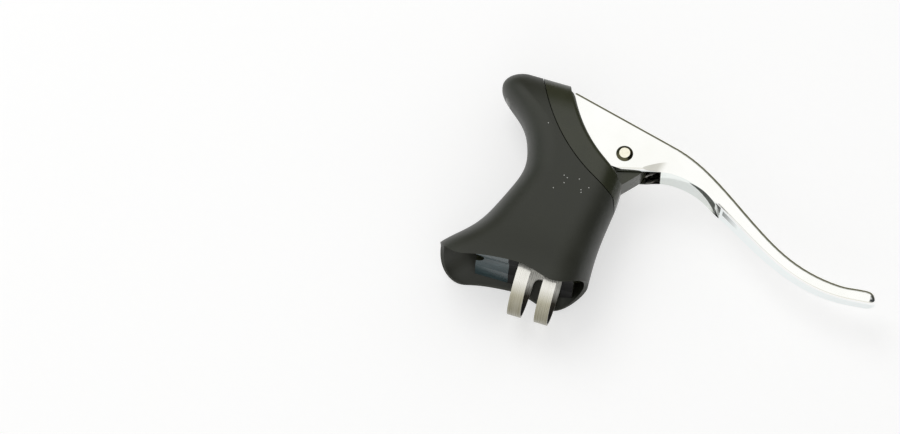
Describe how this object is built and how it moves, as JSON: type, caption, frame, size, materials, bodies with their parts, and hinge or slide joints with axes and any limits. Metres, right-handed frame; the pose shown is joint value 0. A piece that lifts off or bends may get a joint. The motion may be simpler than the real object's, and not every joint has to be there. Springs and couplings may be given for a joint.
{
  "type": "bicycle brake lever",
  "caption": "Drop-bar bicycle brake lever: polished blade on a pinned pivot, black bracket with a rubber hood, and a slotted strap clamp drawn up by a bolt.",
  "frame": {"origin": "centre of the clamp strap's loop, in the lever's plane of symmetry", "axes": "+X along the handlebar towards the blade's tip, +Y away from the bar, +Z along the blade's pivot"},
  "size_m": [0.1508, 0.088, 0.0298],
  "materials": {
    "hood_rubber": "soft charcoal rubber, slightly sheened",
    "bracket_black": "black moulded plastic, semi-gloss",
    "polished_alloy": "mirror polished",
    "pin_steel": "turned, faintly yellow",
    "bush_plastic": "moulded, matt",
    "spring_steel": "drawn wire",
    "anchor_brass": "turned",
    "stop_alloy": "turned",
    "strap_steel": "satin stainless strip",
    "bolt_steel": "plated",
    "bumper_rubber": "matt black"
  },
  "bodies": {
    "bracket_body": {"bracket": "bracket_black", "hood": "hood_rubber", "pivot_bush_near": "bush_plastic", "pivot_bush_far": "bush_plastic", "return_spring": "spring_steel", "cable_stop": "stop_alloy", "clamp_washer": "bolt_steel", "rest_bumper": "bumper_rubber"},
    "blade_body": {"blade": "polished_alloy", "pivot_pin": "pin_steel", "pivot_clip": "pin_steel"},
    "anchor_body": {"cable_anchor": "anchor_brass"},
    "bolt_body": {"clamp_bolt": "bolt_steel"},
    "strap_body": {"clamp_strap": "strap_steel", "clamp_nut": "bolt_steel"}
  },
  "joints": [
    {"name": "blade_pivot", "type": "hinge", "parent": "bracket_body", "child": "blade_body", "pos_m": [0.0156, 0.054, 0], "axis": [0, 0, 1], "range_deg": [-26, 0], "stiffness_Nm_per_rad": 0.2, "springref_deg": 28.65, "deforming": ["return_spring"]},
    {"name": "anchor_turn", "type": "hinge", "parent": "blade_body", "child": "anchor_body", "pos_m": [0.0005, 0.063, 0], "axis": [0, 0, 1], "continuous": true},
    {"name": "clamp_bolt_turn", "type": "hinge", "parent": "bracket_body", "child": "bolt_body", "pos_m": [0, 0.0366, 0], "axis": [0, 1, 0], "range_deg": [0, 3600]},
    {"name": "clamp_slide", "type": "slide", "parent": "bracket_body", "child": "strap_body", "axis": [0, -1, 0], "range_m": [0, 0.008]}
  ],
  "couplings": [
    {"joint": "clamp_bolt_turn", "follows": "clamp_slide", "rad_per_m": 7854}
  ]
}
